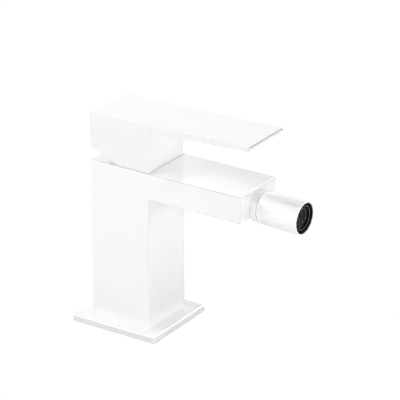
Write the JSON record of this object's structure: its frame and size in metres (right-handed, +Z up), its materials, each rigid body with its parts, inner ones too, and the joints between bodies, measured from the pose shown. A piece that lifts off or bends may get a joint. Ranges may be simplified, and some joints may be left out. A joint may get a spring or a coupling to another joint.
{
  "type": "bidet mixer",
  "caption": "Square single-lever bidet mixer in gloss white: square base plate, upright column, level arm, flat paddle lever over a cube block, and a short round swivelling outlet.",
  "frame": {"origin": "centre of the column where it stands on the deck, at the mouth of the fixing stud's thread", "axes": "+Z up; -Y is the front, where the arm, the lever and the outlet point; +X is to the right of someone who looks along +Y at the outlet's end"},
  "size_m": [0.057, 0.1521, 0.1422],
  "materials": {
    "white_finish": "white gloss coat",
    "chrome": "polished chrome plate",
    "brass": "turned, uncoated",
    "steel": "brushed stainless steel",
    "ceramic": "lapped ceramic",
    "grey_plastic": "moulded, fine grain",
    "black_plastic": "gloss black",
    "liner_plastic": "low-friction plastic",
    "rubber": "moulded rubber"
  },
  "bodies": {
    "fixed": {"body": "white_finish", "base_plate": "white_finish", "base_seal": "rubber", "cartridge_base": "grey_plastic", "port_seals": "rubber", "fixed_disc": "ceramic", "cartridge_housing": "grey_plastic", "retaining_nut": "brass", "cover_ring": "chrome", "outlet_collar": "white_finish", "ball_stud": "chrome", "stud_seal": "rubber"},
    "turret": {"turret": "grey_plastic"},
    "lever": {"lever": "white_finish", "grub_screw": "steel", "index_plug": "grey_plastic", "spindle": "steel", "spindle_pin": "steel"},
    "discs": {"disc_carrier": "grey_plastic", "moving_disc": "ceramic"},
    "swivel": {"ball_liner": "liner_plastic"},
    "outlet": {"outlet_sleeve": "white_finish", "ball_retainer": "brass", "retainer_seal": "rubber", "aerator_washer": "rubber", "aerator_screen": "steel", "aerator_housing": "black_plastic", "aerator_grid": "black_plastic"}
  },
  "joints": [
    {"name": "lever_turn", "type": "hinge", "parent": "fixed", "child": "turret", "pos_m": [0, 0, 0.1135], "axis": [0, 0, 1], "range_deg": [-45, 45]},
    {"name": "lever_lift", "type": "hinge", "parent": "turret", "child": "lever", "pos_m": [0, 0, 0.1135], "axis": [-1, 0, 0], "range_deg": [0, 22]},
    {"name": "disc_slide", "type": "slide", "parent": "turret", "child": "discs", "axis": [0, -1, 0], "range_m": [0, 0.00404]},
    {"name": "outlet_swivel", "type": "hinge", "parent": "fixed", "child": "swivel", "pos_m": [0, -0.0992, 0.0971], "axis": [0, -1, 0], "continuous": true},
    {"name": "outlet_tilt", "type": "hinge", "parent": "swivel", "child": "outlet", "pos_m": [0, -0.0992, 0.0971], "axis": [1, 0, 0], "range_deg": [-16.5, 13.5]}
  ],
  "couplings": [
    {"joint": "disc_slide", "follows": "lever_lift", "m_per_rad": 0.0105}
  ]
}
